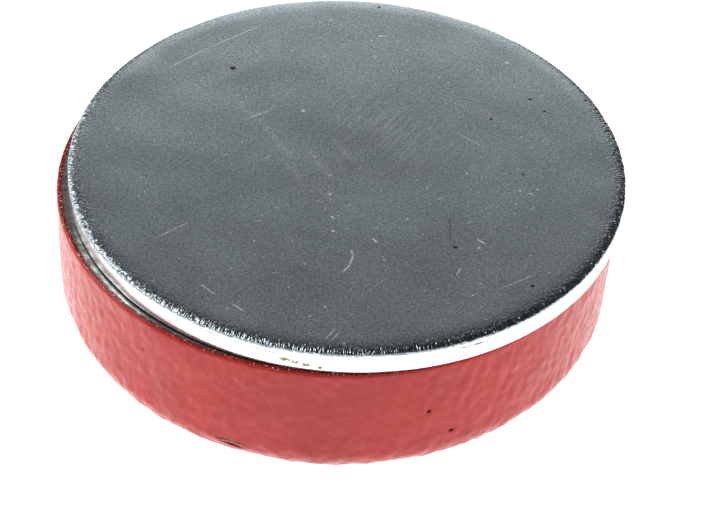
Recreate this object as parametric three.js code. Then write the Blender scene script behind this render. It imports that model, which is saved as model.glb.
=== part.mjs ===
// Shallow pot holding magnet with its keeper plate: a cast, red-enamelled magnet that lies on its
// flat back, pole face up, and a blanked steel disc that its own pull holds on the pole face.
//
// Millimetres, +Z up. The origin is on the magnet's axis, in the plane of its back.
// +X is the way that the keeper slides off the pole face.

import * as THREE from "three";

// ---- Magnet ----
const magnetDiameter = 38.1; // over the enamel
const magnetHeight = 10.4; // from the back to the ground pole face
const cornerWidth = 5.05; // the back curves up into the side over this width
const cornerHeight = 3.45; // and this height
const rimDrop = 0.35; // height of the rounded rim under the pole face
const groundInset = 0.42; // the ground metal stops this far inside the rim
const enamelLand = 0.16; // width of enamel that is ground flush with the pole face

// ---- Enamel ----
const enamelThickness = 0.1;

// ---- Poles and the recess between them ----
const ringPoleWidth = 4.1; // outer pole, measured from the rim
const centrePoleDiameter = 19; // inner pole, at the pole face
const recessDepth = 4.8;
const recessFillet = 0.6; // between the recess's walls and its floor
const castingDraft = THREE.MathUtils.degToRad(2);

// ---- Fixing hole, countersunk from the pole face ----
const holeDiameter = 4.8;
const countersinkDiameter = 9.6;
const countersinkAngle = THREE.MathUtils.degToRad(90);

// ---- Keeper ----
const keeperInset = 0.2; // the keeper is this much smaller in radius than the magnet
const keeperThickness = 1.75;
const dieRollWidth = 1.75; // the top slopes down this far in from the edge
const dieRollDrop = 0.22;
const keeperKnee = 0.12; // rounding of the upper edge
const keeperBreak = 0.28; // rounding of the lower edge
const keeperGap = 0.02; // between the keeper and the ground pole face
const keeperShift = 0.65; // the keeper rests this far off the magnet's axis

// ---- Fineness of the turned shapes ----
const turns = 60;
const curveSteps = 4;

// ---- Sizes that follow from the ones above ----
const sideRadius = magnetDiameter / 2;
const backRadius = sideRadius - cornerWidth;
const groundRadius = sideRadius - groundInset;
const holeRadius = holeDiameter / 2;
const countersinkRadius = countersinkDiameter / 2;
const countersinkDepth = (countersinkRadius - holeRadius) / Math.tan(countersinkAngle / 2);
const ringPoleRadius = sideRadius - ringPoleWidth;
const centrePoleRadius = centrePoleDiameter / 2;
const keeperRadius = sideRadius - keeperInset;

const paint = (color, roughness, metalness) =>
  new THREE.MeshStandardMaterial({ color, roughness, metalness });

const materials = {
  alnico: paint(0x7d7f7e, 0.45, 1),
  enamel: paint(0xb93a36, 0.3, 0),
  zinc: paint(0x8d9496, 0.4, 1),
};

// A profile of radius and height, turned about the vertical axis into a closed body.
function turned(name, profile, material) {
  const geometry = new THREE.LatheGeometry(profile, turns);
  geometry.rotateX(Math.PI / 2);
  const mesh = new THREE.Mesh(geometry, material);
  mesh.name = name;
  return mesh;
}

// A closed profile ends on the point that it starts from.
const closed = (points) => [...points, points[0].clone()];

// The magnet's outside, from the hole's lower edge round the back, side and rim to the pole face.
// depth is how far the surface lies under the enamel's, and edge the radius where it ends.
function outsideOutline(depth, edge) {
  const side = sideRadius - depth;
  const path = new THREE.Path();
  path.moveTo(holeRadius, depth);
  path.lineTo(backRadius, depth);
  path.absellipse(
    backRadius, cornerHeight, side - backRadius, cornerHeight - depth, -Math.PI / 2, 0, false,
  );
  path.lineTo(side, magnetHeight - rimDrop);
  path.quadraticCurveTo(side, magnetHeight, edge, magnetHeight);
  return path.getPoints(curveSteps);
}

// The recess between the poles, from the outer pole's edge down and up to the inner pole's edge.
function recessOutline(depth) {
  const floor = magnetHeight - recessDepth - depth;
  const lean = (recessDepth - recessFillet) * Math.tan(castingDraft);
  const outer = ringPoleRadius + depth;
  const inner = centrePoleRadius - depth;
  const path = new THREE.Path();
  path.moveTo(outer, magnetHeight);
  path.lineTo(outer - lean, floor + recessFillet);
  path.quadraticCurveTo(outer - lean, floor, outer - lean - recessFillet, floor);
  path.lineTo(inner + lean + recessFillet, floor);
  path.quadraticCurveTo(inner + lean, floor, inner + lean, floor + recessFillet);
  path.lineTo(inner, magnetHeight);
  return path.getPoints(curveSteps);
}

// One alnico casting: back, outer pole ring, inner pole, and the countersunk hole through it.
function magnetCasting() {
  return turned(
    "magnet_casting",
    closed([
      ...outsideOutline(enamelThickness, groundRadius),
      ...recessOutline(enamelThickness),
      new THREE.Vector2(countersinkRadius, magnetHeight),
      new THREE.Vector2(holeRadius, magnetHeight - countersinkDepth),
    ]),
    materials.alnico,
  );
}

// The enamel on the back, side and rim.
function outerEnamel() {
  return turned(
    "outer_enamel_coat",
    closed([
      ...outsideOutline(0, groundRadius + enamelLand),
      ...outsideOutline(enamelThickness, groundRadius).reverse(),
    ]),
    materials.enamel,
  );
}

// The enamel in the recess, ground flush with the two poles.
function recessEnamel() {
  return turned(
    "recess_enamel_coat",
    closed([...recessOutline(enamelThickness).reverse(), ...recessOutline(0)]),
    materials.enamel,
  );
}

// The keeper: a disc blanked from strip, with a die roll round its top and both edges rounded.
function keeperPlate() {
  const edgeTop = keeperThickness - dieRollDrop;
  const path = new THREE.Path();
  path.moveTo(0, 0);
  path.lineTo(keeperRadius - keeperBreak, 0);
  path.quadraticCurveTo(keeperRadius, 0, keeperRadius, keeperBreak);
  path.lineTo(keeperRadius, edgeTop - keeperKnee);
  path.quadraticCurveTo(keeperRadius, edgeTop, keeperRadius - keeperKnee, edgeTop);
  path.lineTo(keeperRadius - dieRollWidth, keeperThickness);
  path.lineTo(0, keeperThickness);
  const plate = turned("keeper_plate", path.getPoints(curveSteps), materials.zinc);
  plate.position.set(keeperShift, 0, magnetHeight + keeperGap);
  return plate;
}

const magnetWithKeeper = new THREE.Group();
magnetWithKeeper.add(magnetCasting(), outerEnamel(), recessEnamel(), keeperPlate());

export default magnetWithKeeper;
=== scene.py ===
# A shallow pot magnet with its keeper: a red enamelled alnico casting that lies on its back, and a
# blanked steel disc on its ground pole face. Lengths are in metres, and profiles in millimetres.

import math

import bpy
import numpy as np
from mathutils import Matrix, Vector


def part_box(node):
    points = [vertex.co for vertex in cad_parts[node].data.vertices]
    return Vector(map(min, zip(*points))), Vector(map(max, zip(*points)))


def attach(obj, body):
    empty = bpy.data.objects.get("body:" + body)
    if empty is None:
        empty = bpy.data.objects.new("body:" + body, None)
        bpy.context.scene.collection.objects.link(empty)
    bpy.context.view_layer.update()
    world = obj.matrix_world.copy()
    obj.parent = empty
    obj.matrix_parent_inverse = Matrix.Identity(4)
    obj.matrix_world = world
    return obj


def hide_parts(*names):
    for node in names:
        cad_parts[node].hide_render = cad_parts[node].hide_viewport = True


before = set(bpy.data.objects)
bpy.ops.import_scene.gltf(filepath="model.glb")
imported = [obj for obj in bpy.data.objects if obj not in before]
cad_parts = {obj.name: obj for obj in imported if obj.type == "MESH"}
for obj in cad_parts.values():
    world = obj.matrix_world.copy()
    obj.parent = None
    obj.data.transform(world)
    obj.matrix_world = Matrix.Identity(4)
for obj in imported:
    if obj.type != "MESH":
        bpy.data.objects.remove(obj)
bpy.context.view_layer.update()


# ---------------------------------------------------------------------------------------------
# Magnet casting
# The magnet is one piece of alnico, sand cast with both poles, the recess between them and the
# fixing hole. It was painted all over, and its pole face was then ground flat, which laid bare
# a ring round the rim and the top of the centre pole. The hole was countersunk after that.
# ---------------------------------------------------------------------------------------------

MM = 0.001

casting_low, casting_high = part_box("magnet_casting")
coat_low, coat_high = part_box("outer_enamel_coat")
recess_low, recess_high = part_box("recess_enamel_coat")

side_radius = coat_high.x / MM
face_height = casting_high.z / MM
film = (casting_low.z - coat_low.z) / MM
corner_width, corner_height = 5.05, 3.45
back_radius = side_radius - corner_width
rim_drop = 0.35
ground_radius = side_radius - 0.42
land_width = 0.16
ring_inner_radius = recess_high.x / MM - film
recess_floor = recess_low.z / MM + film
recess_fillet = 0.6
recess_lean = 0.15
centre_radius = 9.5
hole_radius = 2.4
countersink_radius = 4.8
ragged_reach = 0.5
sharp_from = 40


def line(start, end, steps):
    """Points on the straight line from start to end, evenly apart, without the end itself."""
    share = np.arange(steps)[:, None] / steps
    return np.array(start) * (1 - share) + np.array(end) * share


def bend(start, corner, end, steps):
    """Points on the parabola that leaves start towards corner and arrives at end from corner,
    (1-t)^2 start + 2t(1-t) corner + t^2 end, without the end itself."""
    t = np.arange(steps)[:, None] / steps
    start, corner, end = np.array(start), np.array(corner), np.array(end)
    return (1 - t) ** 2 * start + 2 * t * (1 - t) * corner + t**2 * end


def quarter(centre, width, height, steps):
    """Points on the lower right quarter of an ellipse, from straight below its centre to level
    with it, without the last one."""
    turn = -np.pi / 2 + np.pi / 2 * np.arange(steps) / steps
    return np.array(centre) + np.stack([width * np.cos(turn), height * np.sin(turn)], 1)


def round_axis(profile, columns):
    """The profile's radius and height at each of the angles, as three arrays of rows by columns:
    the angle, the radius and the height."""
    angle = np.broadcast_to(np.arange(columns) * 2 * np.pi / columns, (len(profile), columns))
    radius = np.repeat(profile[:, :1], columns, 1)
    height = np.repeat(profile[:, 1:], columns, 1)
    return angle, radius, height


def place(angle, radius, height):
    """Points from their angle, radius and height: radius cos angle, radius sin angle, height."""
    return np.stack([radius * np.cos(angle), radius * np.sin(angle), height], -1)


def waves(points, size, seed, count=48):
    """A smooth random height at each point, about 0 with a spread of 1: cosine waves in random
    directions, each about size long, added up and divided by the root of half their number."""
    draw = np.random.default_rng(seed)
    direction = draw.normal(size=(count, 3))
    direction /= np.linalg.norm(direction, axis=1)[:, None]
    direction *= 2 * np.pi / (size * draw.uniform(0.7, 1.5, (count, 1)))
    phase = draw.uniform(0, 2 * np.pi, count)
    total = sum(np.cos(points @ d + p) for d, p in zip(direction, phase))
    return total / math.sqrt(count / 2)


def ramp(value, low, high):
    """0 below low and 1 above high, with a smooth rise between them: 3t^2 - 2t^3."""
    t = np.clip((value - low) / (high - low), 0, 1)
    return t * t * (3 - 2 * t)


def outward(profile):
    """The way out of the solid at each point of a closed profile that runs anticlockwise: the
    step from the point before to the point after, turned a quarter clockwise."""
    step = np.roll(profile, -1, 0) - np.roll(profile, 1, 0)
    step /= np.linalg.norm(step, axis=1)[:, None]
    return np.stack([step[:, 1], -step[:, 0]], 1)


def as_cast(points):
    """How far a sand-cast surface stands out at each point: long swells of 0.03 mm and short
    ones of 0.012 mm, fading out towards the flat back and the ground face."""
    swell = 0.03 * waves(points, 8, 11) + 0.012 * waves(points, 2.6, 12)
    height = points[..., 2]
    return swell * ramp(height, 0.0, 1.6) * ramp(face_height - height, 0.1, 1.3)


def ragged(angle, radius, seed):
    """The in-and-out of a ground edge round the axis at that radius: 0.03 mm over 6 mm lengths,
    0.012 mm over 0.9 mm and 0.02 mm over 0.3 mm."""
    ring = place(angle[0], radius, 0 * angle[0])
    return (0.03 * waves(ring, 6.0, seed) + 0.012 * waves(ring, 0.9, seed + 1)
            + 0.02 * waves(ring, 0.3, seed + 2))


def move_edge(angle, radius, edge, seed):
    """Radii with those near an edge shifted by its raggedness, fading out over ragged_reach."""
    near = 1 - ramp(np.abs(radius - edge), 0, ragged_reach)
    return radius + near * ragged(angle, edge, seed)


def outer_outline(depth, edge, steps):
    """The magnet's outside under that depth of enamel, from the flat back round the corner, side
    and rim to the pole face at radius edge. steps are those of the corner, side and rim."""
    side = side_radius - depth
    return np.concatenate([
        quarter((back_radius, corner_height), side - back_radius, corner_height - depth, steps[0]),
        line((side, corner_height), (side, face_height - rim_drop), steps[1]),
        bend((side, face_height - rim_drop), (side, face_height), (edge, face_height), steps[2]),
    ])


def recess_outline(depth, wall, floor):
    """The recess under that depth of enamel, from the outer pole's edge down its leaning wall,
    round a fillet, across the floor and up to the centre pole's edge."""
    outer, inner, bottom = ring_inner_radius + depth, centre_radius - depth, recess_floor - depth
    painted_foot_shade, toe = outer - recess_lean, inner + recess_lean
    return np.concatenate([
        line((outer, face_height), (painted_foot_shade, bottom + recess_fillet), wall),
        bend((painted_foot_shade, bottom + recess_fillet), (painted_foot_shade, bottom), (painted_foot_shade - recess_fillet, bottom), 6),
        line((painted_foot_shade - recess_fillet, bottom), (toe + recess_fillet, bottom), floor),
        bend((toe + recess_fillet, bottom), (toe, bottom), (toe, bottom + recess_fillet), 6),
        line((toe, bottom + recess_fillet), (inner, face_height), wall),
        [(inner, face_height)],
    ])


def closed_mesh(name, points, body, node):
    """A piece on that body, in place of that CAD node, from a grid of points in millimetres: rows
    run along the profile and columns round the axis. The last column joins the first. The last
    row joins the first too, unless the profile starts on the axis, where the first row and the
    last are one point each. Edges sharper than sharp_from degrees stay sharp."""
    rows, columns = points.shape[:2]
    spots = points.reshape(-1, 3)
    index = np.arange(rows * columns).reshape(rows, columns)
    near, far = index, np.roll(index, -1, 0)
    fans = []
    if np.allclose(points[0, :, :2], 0):
        spots = np.concatenate([points[0, :1], points[1:-1].reshape(-1, 3), points[-1, :1]])
        index = 1 + index[: rows - 2]
        near, far = index[:-1], index[1:]
        low, high = np.zeros(columns, int), np.full(columns, len(spots) - 1)
        fans = np.concatenate([
            np.stack([low, np.roll(index[0], -1), index[0]], 1),
            np.stack([index[-1], np.roll(index[-1], -1), high], 1),
        ]).tolist()
    quads = np.stack([near, np.roll(near, -1, 1), np.roll(far, -1, 1), far], -1)
    mesh = bpy.data.meshes.new(name)
    mesh.from_pydata((spots * MM).tolist(), [], quads.reshape(-1, 4).tolist() + fans)
    mesh.shade_smooth()
    mesh.set_sharp_from_angle(angle=math.radians(sharp_from))
    piece = bpy.data.objects.new(name, mesh)
    bpy.context.scene.collection.objects.link(piece)
    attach(piece, body)
    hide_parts(node)
    return piece


def linear(hex_colour):
    """An sRGB colour such as "8a8b88" as linear red, green and blue with full alpha: each part c
    is c/12.92 up to 0.04045, and ((c + 0.055) / 1.055)^2.4 above that."""
    parts = np.array([int(hex_colour[i:i + 2], 16) for i in (0, 2, 4)]) / 255
    low = parts <= 0.04045
    return (*np.where(low, parts / 12.92, ((parts + 0.055) / 1.055) ** 2.4).tolist(), 1.0)


def add(tree, kind, inputs=None, **settings):
    """A shader node of that kind with its settings. Each input takes a value, or is fed by a
    socket, or by a node's first output in use."""
    node = tree.nodes.new("ShaderNode" + kind)
    for name, value in settings.items():
        setattr(node, name, value)
    for name, value in (inputs or {}).items():
        if isinstance(value, bpy.types.Node):
            value = next(output for output in value.outputs if output.enabled)
        if isinstance(value, bpy.types.NodeSocket):
            tree.links.new(value, node.inputs[name])
        else:
            node.inputs[name].default_value = value
    return node


def finish(name, piece, centre=(0, 0, 0)):
    """A new finish on the piece: its empty node tree, and the place on the piece in millimetres
    from centre, which patterns are laid out on."""
    material = bpy.data.materials.new(name)
    material.use_nodes = True
    tree = material.node_tree
    tree.nodes.clear()
    own = add(tree, "TexCoord").outputs["Object"]
    spot = add(tree, "VectorMath", {0: own, 1: (1 / MM,) * 3, 2: [-c for c in centre]},
               operation="MULTIPLY_ADD")
    piece.data.materials.append(material)
    return tree, spot


def polar(tree, spot):
    """Each point's distance from the upright axis, its heading from it as a vector of length 1,
    and its height."""
    axes = add(tree, "SeparateXYZ", {0: spot})
    level = add(tree, "CombineXYZ", {0: axes.outputs[0], 1: axes.outputs[1]})
    reach = add(tree, "VectorMath", {0: level}, operation="LENGTH")
    heading = add(tree, "VectorMath", {0: level}, operation="NORMALIZE")
    return reach, heading, axes.outputs[2]


def streaks(tree, around, across, turns, detail=3.0):
    """Noise laid out round the axis without a seam: the heading, turned into a ring turns times
    as large as one patch of noise, and across as the third direction."""
    ring = add(tree, "VectorMath", {0: around, "Scale": turns}, operation="SCALE")
    up = add(tree, "CombineXYZ", {2: across})
    at = add(tree, "VectorMath", {0: ring, 1: up}, operation="ADD")
    return add(tree, "TexNoise", {"Vector": at, "Scale": 1, "Detail": detail})


casting_profile = np.concatenate([
    line((hole_radius, film), (back_radius, film), 4),
    outer_outline(film, ground_radius, (12, 6, 5)),
    line((ground_radius, face_height), (ring_inner_radius + film, face_height), 16),
    recess_outline(film, 5, 3),
    line((centre_radius - film, face_height), (countersink_radius, face_height), 10)[1:],
    line((countersink_radius, face_height),
         (hole_radius, face_height - countersink_radius + hole_radius), 8),
    line((hole_radius, face_height - countersink_radius + hole_radius), (hole_radius, film), 8),
])
angle, radius, height = round_axis(casting_profile, 720)
way = outward(casting_profile)
skin = as_cast(place(angle, radius, height)) * (radius > countersink_radius)
radius = radius + skin * way[:, :1]
height = height + skin * way[:, 1:]
on_face = np.abs(height - face_height) < 1e-6
radius = np.where(on_face, move_edge(angle, radius, ground_radius, 21), radius)
radius = np.where(on_face, move_edge(angle, radius, ring_inner_radius + film, 31), radius)
radius = np.where(on_face, move_edge(angle, radius, centre_radius - film, 41), radius)
casting = closed_mesh("magnet_casting_fine", place(angle, radius, height), "magnet",
                      "magnet_casting")

# Surface-ground alnico: a hard grey nickel-aluminium-cobalt alloy. Grinding on a turning table
# leaves fine rings round the axis, so the face glints in streaks along them.
tree, spot = finish("surface_ground_alnico", casting)
reach, heading, height_on = polar(tree, spot)
ring_pitch, ring_run = 0.09, 5.0
bands = add(tree, "Math", {0: reach, 1: height_on}, operation="ADD")
bands = add(tree, "Math", {0: bands, 1: ring_pitch}, operation="DIVIDE")
rings = streaks(tree, heading, bands, ground_radius / ring_run)
blotch = add(tree, "TexNoise", {"Vector": spot, "Scale": 1 / 0.5, "Detail": 5})
mixed = add(tree, "Math", {0: rings, 1: 0.6, 2: blotch}, operation="MULTIPLY_ADD")
tone = add(tree, "MapRange", {"Value": mixed, "From Min": 0.62, "From Max": 1.0})
colour = add(tree, "Mix", {"Factor": tone, "A": linear("5c5e5c"), "B": linear("a0a2a0")},
             data_type="RGBA")
rough = add(tree, "MapRange", {"Value": mixed, "From Min": 0.6, "From Max": 1.0,
                               "To Min": 0.42, "To Max": 0.26})
dents = add(tree, "Bump", {"Height": mixed, "Strength": 0.7, "Distance": 0.007 * MM})
shader = add(tree, "BsdfPrincipled", {"Base Color": colour, "Roughness": rough, "Normal": dents,
                                      "Metallic": 1.0})
add(tree, "OutputMaterial", {"Surface": shader})


# ---------------------------------------------------------------------------------------------
# Outer enamel
# Stoved red enamel about 0.1 mm thick over the back, corner, side and rim. It follows every
# swell of the casting and has an orange peel of its own. Grinding the face cut its edge ragged.
# ---------------------------------------------------------------------------------------------


def orange_peel(points):
    """How far wet enamel has drawn up at each point before it set: lumps of 0.016 mm about 1 mm
    across and of 0.007 mm about 0.5 mm across, fading out at the ground face."""
    lumps = 0.016 * waves(points, 1.0, 51) + 0.007 * waves(points, 0.5, 52, 64)
    return lumps * ramp(face_height - points[..., 2], 0.0, 0.5)


def knock(points, centre, along, half_length, half_width, depth):
    """A blow's mark: the surface sinks by depth times (1 - q)^2 where q, the squared distance from
    centre over half_length along the blow and over half_width across it, is under 1. A lip a
    third as high stands round it: exp(-((root of q - 1.15) / 0.2)^2)."""
    along = np.array(along) / np.linalg.norm(along)
    gap = points - np.array(centre)
    run = gap @ along
    rest = np.sqrt(np.maximum((gap**2).sum(-1) - run**2, 0))
    q = (run / half_length) ** 2 + (rest / half_width) ** 2
    lip = np.exp(-(((np.sqrt(q) - 1.15) / 0.2) ** 2))
    return -depth * np.clip(1 - q, 0, 1) ** 2 + depth / 3 * lip


outer = np.concatenate([
    outer_outline(0, ground_radius + land_width, (34, 30, 9)),
    line((ground_radius + land_width, face_height), (ground_radius, face_height), 2),
])
inner = outer_outline(film, ground_radius, (3, 2, 1))[::-1]
coat_profile = np.concatenate([outer, [(ground_radius, face_height)], inner])
angle, radius, height = round_axis(coat_profile, 1200)
points = place(angle, radius, height)
corner_mark = knock(points, (-6.0, -18.0, 2.9), (0.95, -0.31, 0.0), 0.9, 0.3, 0.08)
outside = (np.arange(len(coat_profile)) < len(outer))[:, None]
lift = np.where(outside, as_cast(points) + orange_peel(points) + corner_mark, -as_cast(points))
way = outward(coat_profile)
radius = radius + lift * way[:, :1]
height = np.clip(height + lift * way[:, 1:], 0, face_height)
on_rim = height > face_height - 0.8 * rim_drop
radius = np.where(on_rim, move_edge(angle, radius, ground_radius, 21), radius)
coat = closed_mesh("outer_enamel_side", place(angle, radius, height), "magnet",
                   "outer_enamel_coat")

coat_back_profile = np.concatenate([
    line((hole_radius, 0), (back_radius, 0), 40),
    line((back_radius, 0), (back_radius, film), 1),
    line((back_radius, film), (hole_radius, film), 6),
    [(hole_radius, film)],
])
angle, radius, height = round_axis(coat_back_profile, 420)
inset = 0.5 * np.maximum(as_cast(place(angle, radius, height + 3)), 0)
inset += 0.4 * np.maximum(orange_peel(place(angle, radius, height + 3)), 0)
inset *= ramp(back_radius - radius, 0, 1.5) * ramp(radius - hole_radius, 0, 0.3)
height = height + np.where(height < film / 2, np.minimum(inset, 0.7 * film), 0)
coat_back = closed_mesh("outer_enamel_back", place(angle, radius, height), "magnet",
                        "outer_enamel_coat")


def marked(tree, spot, marks, soft=0.35):
    """1 inside the marks and 0 outside, soft between. Each mark is an ellipsoid: its centre, its
    turn about the upright axis in degrees, and its three half sizes."""
    nearest = 2.0
    for centre, turn, half in marks:
        inside = add(tree, "Mapping", {
            "Vector": spot, "Location": centre, "Rotation": (0, 0, math.radians(turn)),
            "Scale": half}, vector_type="TEXTURE")
        out = add(tree, "VectorMath", {0: inside}, operation="LENGTH")
        nearest = add(tree, "Math", {0: out, 1: nearest}, operation="MINIMUM")
    return add(tree, "MapRange", {"Value": nearest, "From Min": 1 + soft, "From Max": 1 - soft})


def flecks(tree, spot, apart, radius, share):
    """Round flecks of that radius, one in each cell of loose cells that size, but only in that
    share of the cells."""
    cell = add(tree, "TexVoronoi", {"Vector": spot, "Scale": 1 / apart})
    chance = add(tree, "SeparateColor", {0: cell.outputs["Color"]})
    near = add(tree, "MapRange", {"Value": cell.outputs["Distance"],
                                  "From Min": 1.3 * radius / apart,
                                  "From Max": 0.7 * radius / apart})
    chosen = add(tree, "Math", {0: chance, 1: share}, operation="LESS_THAN")
    return add(tree, "Math", {0: near, 1: chosen}, operation="MULTIPLY")


# Painted shade: dark bands below and above the blow's mark, on the two walls of its dent.
dent_wall_shade = [((-6.0, -18.0, 2.9 + rise), -19, (0.95, 1.0, 0.1)) for rise in (-0.22, 0.2)]
pinholes = [((6.48, -17.91, 6.59), 0, (0.14, 0.4, 0.14)),
            ((8.04, -17.27, 4.28), 0, (0.17, 0.4, 0.11)),
            ((-11.85, -14.91, 7.83), 0, (0.12, 0.3, 0.06))]


def enamel_finish(name, piece):
    """Stoved enamel: a hard glossy resin paint, near an IOR of 1.45, over a rough casting. It has
    slow shifts of tone where it lies thicker, a fine grain, pale dust, dark pinholes and painted
    shade on the two walls of one blow's dent. Along the ground face its edge is dark, with pale
    crumbs that the wheel has torn."""
    tree, spot = finish(name, piece)
    drift = add(tree, "TexNoise", {"Vector": spot, "Scale": 1 / 3.5, "Detail": 3})
    grain = add(tree, "TexNoise", {"Vector": spot, "Scale": 1 / 0.3, "Detail": 3})
    tone = add(tree, "Math", {0: drift, 1: 0.9, 2: grain}, operation="MULTIPLY_ADD")
    tone = add(tree, "MapRange", {"Value": tone, "From Min": 0.7, "From Max": 1.2})
    colour = add(tree, "Mix", {"Factor": tone, "A": linear("90150f"), "B": linear("9e1913")},
                 data_type="RGBA")
    dark_spots = add(tree, "Math", {0: marked(tree, spot, pinholes),
                              1: flecks(tree, spot, 3.1, 0.06, 0.3)}, operation="MAXIMUM")
    # Painted shade: the blow's dent is darkened along its two walls.
    painted_dent_shade = add(tree, "Math", {0: marked(tree, spot, dent_wall_shade), 1: 0.95}, operation="MULTIPLY")
    dark_spots = add(tree, "Math", {0: dark_spots, 1: painted_dent_shade}, operation="MAXIMUM")
    colour = add(tree, "Mix", {"Factor": dark_spots, "A": colour, "B": linear("1c0504")},
                 data_type="RGBA")
    pale_flecks = flecks(tree, spot, 2.0, 0.05, 0.4)
    colour = add(tree, "Mix", {"Factor": pale_flecks, "A": colour, "B": linear("cf9a90")},
                 data_type="RGBA")
    crumbs = add(tree, "TexNoise", {"Vector": spot, "Scale": 1 / 0.13, "Detail": 2})
    height_on = add(tree, "SeparateXYZ", {0: spot}).outputs[2]
    cut = add(tree, "MapRange", {"Value": height_on, "From Min": face_height - 0.06,
                                 "From Max": face_height - 0.01})
    for none, full, tint in ((0.56, 0.44, "3a100e"), (0.63, 0.69, "e6dcd6")):
        torn = add(tree, "MapRange", {"Value": crumbs, "From Min": none, "From Max": full})
        torn = add(tree, "Math", {0: cut, 1: torn}, operation="MULTIPLY")
        colour = add(tree, "Mix", {"Factor": torn, "A": colour, "B": linear(tint)},
                     data_type="RGBA")
    rough = add(tree, "MapRange", {"Value": grain, "From Min": 0.3, "From Max": 0.7,
                                   "To Min": 0.2, "To Max": 0.34})
    shine = add(tree, "MapRange", {"Value": dark_spots, "To Min": 0.42, "To Max": 0.0})
    dents = add(tree, "Bump", {"Height": grain, "Strength": 0.4, "Distance": 0.009 * MM})
    shader = add(tree, "BsdfPrincipled", {"Base Color": colour, "Roughness": rough, "IOR": 1.45,
                                          "Specular IOR Level": shine, "Normal": dents})
    add(tree, "OutputMaterial", {"Surface": shader})


enamel_finish("stoved_red_enamel_side", coat)
enamel_finish("stoved_red_enamel_back", coat_back)


# ---------------------------------------------------------------------------------------------
# Recess enamel
# The same enamel in the recess between the poles, where it never met the grinding wheel except
# at its two edges. The casting is rougher here, and the enamel runs thicker in the fillets.
# ---------------------------------------------------------------------------------------------

inner = recess_outline(film, 2, 2)[::-1]
outer = recess_outline(0, 14, 22)
recess_profile = np.concatenate([inner, outer])
angle, radius, height = round_axis(recess_profile, 900)
points = place(angle, radius, height)
outside = (np.arange(len(recess_profile)) >= len(inner))[:, None]
lift = np.where(outside, as_cast(points) + 1.5 * orange_peel(points), -as_cast(points))
way = outward(recess_profile)
radius = radius + lift * way[:, :1]
height = height + lift * way[:, 1:]
on_face = np.abs(height - face_height) < 0.02
radius = np.where(on_face, move_edge(angle, radius, ring_inner_radius + film, 31), radius)
radius = np.where(on_face, move_edge(angle, radius, centre_radius - film, 41), radius)
recess_coat = closed_mesh("recess_enamel_fine", place(angle, radius, height), "magnet",
                          "recess_enamel_coat")
enamel_finish("stoved_red_enamel_recess", recess_coat)


# ---------------------------------------------------------------------------------------------
# Keeper plate
# A disc of 1.75 mm mild steel, blanked in one stroke, barrel finished and zinc plated. The punch
# pulled its top edge down into a wide soft roll and burnished its side. The magnet holds it.
# ---------------------------------------------------------------------------------------------

keeper_low, keeper_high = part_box("keeper_plate")
keeper_centre = ((keeper_low + keeper_high) / 2 / MM).to_tuple()
keeper_radius = (keeper_high.x - keeper_low.x) / 2 / MM
keeper_bottom, keeper_top = keeper_low.z / MM, keeper_high.z / MM
lower_round, knee, roll_width = 0.28, 0.12, 1.75
roll_tilt, edge_tilt, edge_share = 5.0, 24.0, 0.38


def die_roll(steps):
    """The top's edge from the side up to the flat, as the path of a surface whose tilt falls from
    90 degrees at the side to roll_tilt + edge_tilt round a knee, then to roll_tilt over the first
    edge_share of the way, and to 0 where the flat begins. Radius and height are the running sums
    of its cosine and sine."""
    share = np.linspace(0, 1, 2000)
    reach = knee * 1.6 / roll_width
    slope = roll_tilt * ramp(1 - share, 0, 0.85)
    slope = slope + edge_tilt * np.clip(1 - share / edge_share, 0, 1) ** 1.5
    tilt = np.radians(90 + (slope - 90) * ramp(share, 0, reach))
    length = np.diff(share, prepend=0) * roll_width
    inward, rise = np.cumsum(np.cos(tilt) * length), np.cumsum(np.sin(tilt) * length)
    pick = np.concatenate([np.linspace(0, reach, 9)[:-1], np.linspace(reach, 1, steps)])
    inward, rise = (np.interp(pick, share, part) for part in (inward, rise))
    return np.stack([keeper_radius - inward, keeper_top - rise[-1] + rise], 1)


def nicks(angle, points, inset):
    """How deep tumbling has nicked the keeper's upper edge: bites 0.25 mm wide along the edge and
    longer across it, up to 0.05 mm deep at the edge and none 0.8 mm in from it. Round the far
    side they are a quarter as deep."""
    beside = place(angle, keeper_radius, 0.3 * inset + points[..., 2])
    bite = np.maximum(waves(beside, 0.27, 65, 80) + 0.4 * waves(beside, 0.9, 66), -0.5)
    spared = 1 - 0.75 * ramp(np.sin(angle), 0.1, 0.6)
    return 0.016 * (bite + 0.5) * ramp(inset, 0.8, 0.05) * spared


roll = die_roll(20)
shoulder = roll[0, 1]
keeper_profile = np.concatenate([
    line((0, keeper_bottom), (keeper_radius - lower_round, keeper_bottom), 3),
    bend((keeper_radius - lower_round, keeper_bottom), (keeper_radius, keeper_bottom),
         (keeper_radius, keeper_bottom + lower_round), 6),
    line((keeper_radius, keeper_bottom + lower_round), (keeper_radius, shoulder), 9),
    roll,
    line(roll[-1], (0, keeper_top), 15)[1:],
    [(0, keeper_top)],
])
angle, radius, height = round_axis(keeper_profile, 1500)
points = place(angle, radius, height)
way = outward(keeper_profile)
inset = keeper_radius - radius
above = ramp(height, shoulder - 0.3, shoulder)

# The top and its roll swell by 0.005 mm and are nicked, the side by 0.006 mm in upright waves, and
# the flat is dished by 0.01 mm.
lift = 0.005 * above * waves(points, 6.0, 61)
lift -= above * nicks(angle, points, inset)
lift += 0.006 * ramp(inset, 0.3, 0.0) * waves(points * (1, 1, 0.3), 2.2, 64)
lift *= ramp(radius, 0.0, 0.5) * ramp(height, keeper_bottom, keeper_bottom + 0.15)
lift = np.where(height > keeper_top - 1e-6, lift - 0.01 * ramp(inset, roll_width, 4.0), lift)
radius = radius + lift * way[:, :1]
height = height + lift * way[:, 1:]
points = place(angle, radius, height) + (keeper_centre[0], keeper_centre[1], 0)
keeper = closed_mesh("keeper_plate_fine", points, "keeper", "keeper_plate")
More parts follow.
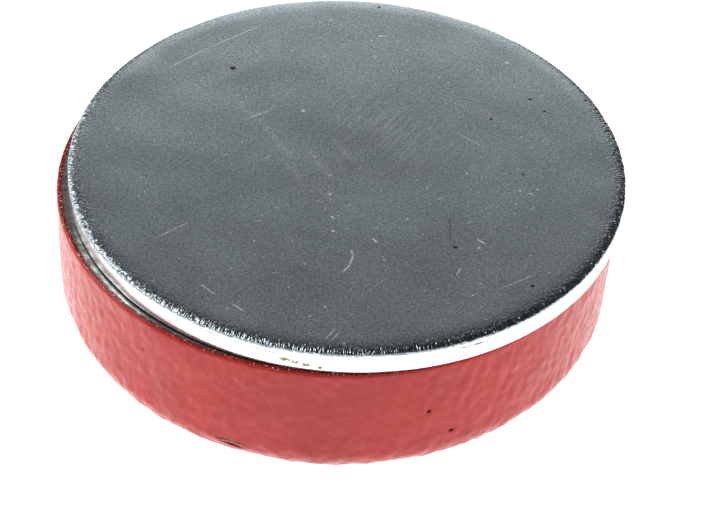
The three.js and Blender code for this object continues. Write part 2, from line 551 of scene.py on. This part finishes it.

# Zinc plate over barrel-finished steel: a soft blue-grey metal, matt where the stones have
# tumbled it, and bright where the punch burnished the side. Dark specks are gaps in the plate,
# pale ones dust, and pale flecks along the beaten edge are painted glints.
tree, spot = finish("barrelled_zinc_plate", keeper,
                    (keeper_centre[0], keeper_centre[1], keeper_top))
reach, heading, depth = polar(tree, spot)
cloud = add(tree, "TexNoise", {"Vector": spot, "Scale": 1 / 6, "Detail": 5, "Distortion": 0.6})
grain = add(tree, "TexNoise", {"Vector": spot, "Scale": 1 / 0.16, "Detail": 2})
crystals = add(tree, "TexVoronoi", {"Vector": spot, "Scale": 1 / 0.09})
crystals = add(tree, "SeparateColor", {0: crystals.outputs["Color"]})
tone = add(tree, "Math", {0: cloud, 1: 0.36, 2: grain}, operation="MULTIPLY_ADD")
tone = add(tree, "Math", {0: crystals, 1: 0.25, 2: tone}, operation="MULTIPLY_ADD")
tone = add(tree, "MapRange", {"Value": tone, "From Min": 0.5, "From Max": 1.13})
colour = add(tree, "Mix", {"Factor": tone, "A": linear("838e93"), "B": linear("c8d3d8")},
             data_type="RGBA")

# A thumbed, greasy middle, hazy smears where a cloth has dragged, and a patch of lapping lines.
grease = marked(tree, spot, [((0.5, 3.0, 0), 0, (8.0, 6.0, 3))], 0.7)
grease = add(tree, "Math", {0: grease, 1: 0.16}, operation="MULTIPLY")
colour = add(tree, "Mix", {"Factor": grease, "A": colour, "B": linear("3a3b31")},
             data_type="RGBA")
smears = [((-6.8, 4.4), -52, 1.5, 0.2), ((-5.5, 2.7), -60, 1.7, 0.25),
          ((-4.2, 0.5), -58, 1.6, 0.3), ((-3.6, -1.6), -70, 1.4, 0.3),
          ((-2.0, -0.5), -58, 1.7, 0.3), ((-1.3, -3.7), -55, 1.0, 0.5),
          ((-0.2, 0.8), -60, 1.2, 0.3), ((-9.5, 8.5), 40, 4.0, 0.5),
          ((10.5, 5.0), -30, 3.0, 0.5)]
smears = [((x, y, 0), turn, (long, wide, 3)) for (x, y), turn, long, wide in smears]
haze = add(tree, "MapRange", {"Value": crystals, "From Min": 0.3, "From Max": 1.0,
                              "To Min": 0.05, "To Max": 0.34})
haze = add(tree, "Math", {0: marked(tree, spot, smears, 0.6), 1: haze}, operation="MULTIPLY")
lapped = marked(tree, spot, [((2.6, 3.6, 0), -46, (4.6, 2.4, 3))], 0.6)
laps = add(tree, "Mapping", {"Vector": spot, "Rotation": (0, 0, math.radians(58)),
                             "Scale": (6.0, 0.34, 3)}, vector_type="TEXTURE")
laps = add(tree, "TexNoise", {"Vector": laps, "Scale": 1.6, "Detail": 1})
laps = add(tree, "MapRange", {"Value": laps, "From Min": 0.46, "From Max": 0.62, "To Max": 0.2})
laps = add(tree, "Math", {0: lapped, 1: laps}, operation="MULTIPLY")
haze = add(tree, "Math", {0: haze, 1: laps}, operation="MAXIMUM")
colour = add(tree, "Mix", {"Factor": haze, "A": colour, "B": linear("e4ebee")},
             data_type="RGBA")

# Scratches that catch the light through the grain, dust that lies thicker where the plate is
# cloudy, a few hairs, and painted glints along the beaten edge.
scratches = [((-11.6, 10.65), 45, 1.95, 0.045), ((-8.5, 13.45), 40, 2.3, 0.05),
             ((-11.16, -8.11), 41, 1.16, 0.035), ((8.41, 2.66), -38, 1.2, 0.03),
             ((8.88, -7.81), -42, 0.34, 0.07), ((0.22, -11.04), 58, 0.45, 0.07),
             ((0.52, -10.25), 79, 0.47, 0.06), ((0.53, -9.53), 104, 0.3, 0.05),
             ((-0.63, -17.17), 61, 0.55, 0.04), ((-0.32, -17.37), 58, 0.4, 0.04),
             ((7.38, -10.82), 69, 0.47, 0.035), ((11.14, -11.55), 33, 1.36, 0.02),
             ((11.6, -2.5), 0, 0.1, 0.08), ((12.3, -2.8), -18, 0.16, 0.06),
             ((12.8, -2.3), 0, 0.08, 0.08), ((1.99, -8.25), -43, 0.3, 0.08),
             ((-8.44, -13.62), -41, 0.72, 0.04), ((-6.45, -15.13), -37, 0.49, 0.05),
             ((-6.37, 4.37), 32, 0.98, 0.04), ((-1.07, -3.75), 0, 0.12, 0.12),
             ((-0.87, -6.07), 0, 0.1, 0.1), ((-0.76, -7.46), 0, 0.12, 0.12),
             ((2.05, 14.35), 20, 0.2, 0.1), ((11.16, 11.77), 0, 0.16, 0.12),
             ((-3.24, 5.06), 0, 0.12, 0.16), ((8.74, -8.46), 0, 0.1, 0.1)]
scratches = [((x, y, 0), turn, (long, wide, 3)) for (x, y), turn, long, wide in scratches]
scored = add(tree, "Math", {0: grain, 1: 0.9}, operation="MULTIPLY")
scored = add(tree, "Math", {0: marked(tree, spot, scratches), 1: scored}, operation="MULTIPLY")
thick = add(tree, "MapRange", {"Value": cloud, "From Min": 0.42, "From Max": 0.62,
                               "To Min": 0.12, "To Max": 0.75})
pale_flecks = add(tree, "Math", {0: flecks(tree, spot, 1.25, 0.075, 0.5),
                          1: flecks(tree, spot, 0.5, 0.05, thick)}, operation="MAXIMUM")
hairs = add(tree, "Mapping", {"Vector": spot, "Rotation": (0, 0, 0.7),
                              "Scale": (1.0, 0.12, 1)}, vector_type="TEXTURE")
pale_flecks = add(tree, "Math", {0: pale_flecks, 1: flecks(tree, hairs, 2.2, 0.24, 0.14)},
           operation="MAXIMUM")
pale_flecks = add(tree, "Math", {0: pale_flecks, 1: 0.42}, operation="MULTIPLY")
# Painted glints: pale non-metal flecks in the last millimetre of the top, where the beaten edge
# catches light.
painted_glints = add(tree, "MapRange", {"Value": reach, "From Min": keeper_radius - 0.9,
                                "From Max": keeper_radius - 0.3, "To Max": 0.8})
painted_glints = add(tree, "Math", {0: flecks(tree, spot, 0.27, 0.055, 0.35), 1: painted_glints},
             operation="MULTIPLY")
pale_flecks = add(tree, "Math", {0: pale_flecks, 1: painted_glints}, operation="MAXIMUM")
on_top = add(tree, "MapRange", {"Value": depth, "From Min": -0.3, "From Max": -0.15})
pale_flecks = add(tree, "Math", {0: pale_flecks, 1: on_top}, operation="MULTIPLY")
scratches_dust_and_glints = add(tree, "Math", {0: scored, 1: pale_flecks}, operation="MAXIMUM")
colour = add(tree, "Mix", {"Factor": scratches_dust_and_glints, "A": colour, "B": linear("f4f6f6")},
             data_type="RGBA")

# The burnished side is brighter than the top. Hairlines that the punch drew run along it, and
# handling has left brown spots near the foot of it.
on_side = add(tree, "MapRange", {"Value": depth, "From Min": -0.27, "From Max": -0.37})
colour = add(tree, "Mix", {"Factor": on_side, "A": colour, "B": linear("eceff0")},
             data_type="RGBA")
lines = add(tree, "Math", {0: depth, 1: 0.09}, operation="DIVIDE")
lines = streaks(tree, heading, lines, keeper_radius / 4.0, 1.0)
lines = add(tree, "MapRange", {"Value": lines, "From Min": 0.66, "From Max": 0.72,
                               "To Max": 0.7})
lines = add(tree, "Math", {0: on_side, 1: lines}, operation="MULTIPLY")
stains = [((-3.33, -18.55, -1.0), 0, (0.35, 0.6, 0.16)),
          ((-2.64, -18.66, -1.12), 0, (0.4, 0.6, 0.16)),
          ((-2.02, -18.74, -1.2), 0, (0.35, 0.6, 0.14)),
          ((-1.15, -18.81, -1.32), 0, (0.14, 0.6, 0.14)),
          ((7.7, -17.21, -0.55), 0, (0.3, 0.6, 0.05)),
          ((8.6, -16.8, -0.58), 0, (0.3, 0.6, 0.07))]
speckle = add(tree, "TexNoise", {"Vector": spot, "Scale": 1 / 0.2, "Detail": 3})
stain = add(tree, "MapRange", {"Value": speckle, "From Min": 0.36, "From Max": 0.47,
                               "To Min": 0.2})
stain = add(tree, "Math", {0: marked(tree, spot, stains, 0.6), 1: stain}, operation="MULTIPLY")
colour = add(tree, "Mix", {"Factor": stain, "A": colour, "B": linear("6a6038")},
             data_type="RGBA")

# Dark marks: gaps in the plate on the top, a few lines drawn deeper along the side, and painted
# shade along the foot of the side, where the keeper stands on the magnet.
dark_spots = [((-8.42, 9.59), 0.24, 0.24), ((1.86, 17.93), 0.13, 0.13), ((16.56, 7.79), 0.16, 0.12),
        ((13.61, 6.3), 0.12, 0.12), ((9.86, 5.11), 0.13, 0.13), ((11.88, -0.75), 0.12, 0.12),
        ((7.2, -8.51), 0.19, 0.17), ((12.67, 7.6), 0.17, 0.13), ((12.06, -11.9), 0.17, 0.14),
        ((6.88, -6.75), 0.03, 1.6)]
dark_spots = [((x, y, 0), 0, (long, wide, 3)) for (x, y), long, wide in dark_spots]
drawn = [((math.cos(math.radians(a)) * keeper_radius, math.sin(math.radians(a)) * keeper_radius,
           rise), a + 90, (long, 0.6, 0.025))
         for a, rise, long in ((-118, -0.45, 1.6), (-110, -0.5, 2.2), (-103, -0.58, 1.5),
                               (-64, -0.52, 1.2))]
foot_depth = keeper_bottom - keeper_top
# Painted shade: a dark ragged band along the foot of the side, where the keeper meets the magnet.
painted_foot_shade = add(tree, "Math", {0: speckle, 1: 0.12, 2: depth}, operation="MULTIPLY_ADD")
painted_foot_shade = add(tree, "MapRange", {"Value": painted_foot_shade, "From Min": foot_depth + 0.22,
                              "From Max": foot_depth + 0.14, "To Max": 0.95})
dark_marks_and_shade = add(tree, "Math", {0: lines, 1: painted_foot_shade}, operation="MAXIMUM")
dark_marks_and_shade = add(tree, "Math", {0: marked(tree, spot, dark_spots + drawn), 1: dark_marks_and_shade}, operation="MAXIMUM")
colour = add(tree, "Mix", {"Factor": dark_marks_and_shade, "A": colour, "B": linear("17191a")},
             data_type="RGBA")

# Tumbling has hammered the edge into facets, steeper the nearer they are to it, and spared most
# of the far side. The marks, painted glints and painted shade are no metal, so they shine less.
facets = add(tree, "Math", {0: depth, 1: 0.15}, operation="DIVIDE")
facets = add(tree, "Math", {0: reach, 1: 1 / 0.22, 2: facets}, operation="MULTIPLY_ADD")
facets = streaks(tree, heading, facets, keeper_radius / 0.1, 1.0)
beaten = add(tree, "MapRange", {"Value": reach, "From Min": keeper_radius - 1.5,
                                "From Max": keeper_radius - 0.15})
off_side = add(tree, "Math", {0: 1.0, 1: on_side}, operation="SUBTRACT")
beaten = add(tree, "Math", {0: beaten, 1: off_side}, operation="MULTIPLY")
beaten = add(tree, "Math", {0: beaten, 1: 1.6}, operation="POWER")
far_side = add(tree, "SeparateXYZ", {0: heading}).outputs[1]
spared = add(tree, "MapRange", {"Value": far_side, "From Min": 0.1, "From Max": 0.6,
                                "To Min": 1.0, "To Max": 0.15})
beaten = add(tree, "Math", {0: beaten, 1: spared}, operation="MULTIPLY")
hammered = add(tree, "Bump", {"Height": facets, "Strength": beaten, "Distance": 0.07 * MM})
dents = add(tree, "Bump", {"Height": grain, "Strength": 0.4, "Distance": 0.004 * MM,
                           "Normal": hammered})
marks_and_painted_light = add(tree, "Math", {0: scratches_dust_and_glints, 1: dark_marks_and_shade}, operation="MAXIMUM")
stain = add(tree, "Math", {0: stain, 1: 0.8}, operation="MULTIPLY")
marks_and_painted_light = add(tree, "Math", {0: marks_and_painted_light, 1: stain}, operation="MAXIMUM")
metal = add(tree, "Math", {0: 1.0, 1: marks_and_painted_light}, operation="SUBTRACT")
shader = add(tree, "BsdfPrincipled", {"Base Color": colour, "Metallic": metal,
                                      "Roughness": 0.23, "Normal": dents})
add(tree, "OutputMaterial", {"Surface": shader})


# ---------------------------------------------------------------------------------------------
# Studio
# A pale table that glows softly, as one lit from beneath does, inside a white tent that is open
# at the top. The camera looks down on the magnet through a long lens.
# ---------------------------------------------------------------------------------------------

bpy.context.scene.view_settings.view_transform = "Standard"
tent_light = 1.6

half_table = 3.0
table = bpy.data.meshes.new("table_top")
table.from_pydata([(-half_table, -half_table, 0), (half_table, -half_table, 0),
                   (half_table, half_table, 0), (-half_table, half_table, 0)],
                  [], [(0, 1, 2, 3)])
table_top = bpy.data.objects.new("table_top", table)
table_top.location.z = -0.02 * MM
bpy.context.scene.collection.objects.link(table_top)
glow = bpy.data.materials.new("lit_table")
glow.use_nodes = True
tree = glow.node_tree
tree.nodes.clear()
own_light = add(tree, "Emission", {"Color": (1, 1, 1, 1), "Strength": tent_light * 0.79})
dull = add(tree, "BsdfDiffuse", {"Color": linear("d8d8d8")})
both = add(tree, "AddShader", {0: own_light, 1: dull})
add(tree, "OutputMaterial", {"Surface": both})
table.materials.append(glow)

world = bpy.data.worlds.new("tent")
bpy.context.scene.world = world
world.use_nodes = True
tree = world.node_tree
tree.nodes.clear()
axes = add(tree, "SeparateXYZ", {0: add(tree, "TexCoord").outputs["Generated"]})


def wall(stops):
    """The tent's brightness up one side: pairs of the sine of the elevation and the light
    there."""
    colours = add(tree, "ValToRGB", {0: axes.outputs[2]})
    marks = colours.color_ramp.elements
    marks[0].position, marks[1].position = stops[0][0], stops[-1][0]
    for rise, _ in stops[1:-1]:
        marks.new(rise)
    for mark, (_, light) in zip(marks, stops):
        mark.color = (light, light, light, 1)
    return colours


behind = wall([(0.0, 0.85), (0.5, 0.68), (0.575, 0.49), (0.605, 0.22), (0.63, 0.15),
               (0.66, 0.125), (0.7, 0.15), (0.75, 0.16), (0.79, 0.06), (0.88, 0.025),
               (1.0, 0.015)])
before = wall([(0.0, 0.08), (0.35, 0.2), (0.55, 0.79), (0.82, 0.79), (0.92, 0.15), (1.0, 0.01)])
aside = add(tree, "Math", {0: axes.outputs[0]}, operation="ABSOLUTE")
flank = add(tree, "MapRange", {"Value": aside, "From Min": 0.13, "From Max": 0.3,
                               "To Max": 0.92})
behind = add(tree, "Mix", {"Factor": flank, "A": behind, "B": linear("000000")},
             data_type="RGBA")
side = add(tree, "MapRange", {"Value": axes.outputs[1], "From Min": -0.5, "From Max": 0.0})
walls = add(tree, "Mix", {"Factor": side, "A": before, "B": behind}, data_type="RGBA")
sky = add(tree, "Background", {"Color": walls, "Strength": tent_light})
add(tree, "OutputWorld", {"Surface": sky})

softboxes = (("high_softbox", (-0.3, 0.14, 0.3), 0.26, 0.9, True),
             ("left_softbox", (-0.36, -0.03, 0.08), 0.2, 1.05, False),
             ("right_softbox", (0.36, -0.02, 0.08), 0.2, 1.05, False))
for name, spot_at, wide, power, mirrored in softboxes:
    softbox = bpy.data.lights.new(name, "AREA")
    softbox.shape, softbox.size, softbox.energy = "SQUARE", wide, power
    lamp = bpy.data.objects.new(name, softbox)
    lamp.location = spot_at
    lamp.visible_glossy = mirrored
    lamp.rotation_euler = (-lamp.location).to_track_quat("-Z", "Y").to_euler()
    bpy.context.scene.collection.objects.link(lamp)

elevation, roll_angle = math.radians(41.01), math.radians(2.7)
distance, aim = 0.14867, Vector((0, 0, 0.006))
ahead = Vector((0, math.cos(elevation), -math.sin(elevation)))
level, upright = Vector((1, 0, 0)), Vector((0, math.sin(elevation), math.cos(elevation)))
across = math.cos(roll_angle) * level + math.sin(roll_angle) * upright
up = -math.sin(roll_angle) * level + math.cos(roll_angle) * upright
lens = bpy.data.cameras.new("camera")
lens.lens = 106.78
lens.shift_x, lens.shift_y = 0.0349, -0.0374
lens.clip_start = 0.01
camera = bpy.data.objects.new("camera", lens)
camera.matrix_world = Matrix.Translation(aim - distance * ahead) @ Matrix(
    (across, up, -ahead)).transposed().to_4x4()
bpy.context.scene.collection.objects.link(camera)
bpy.context.scene.camera = camera
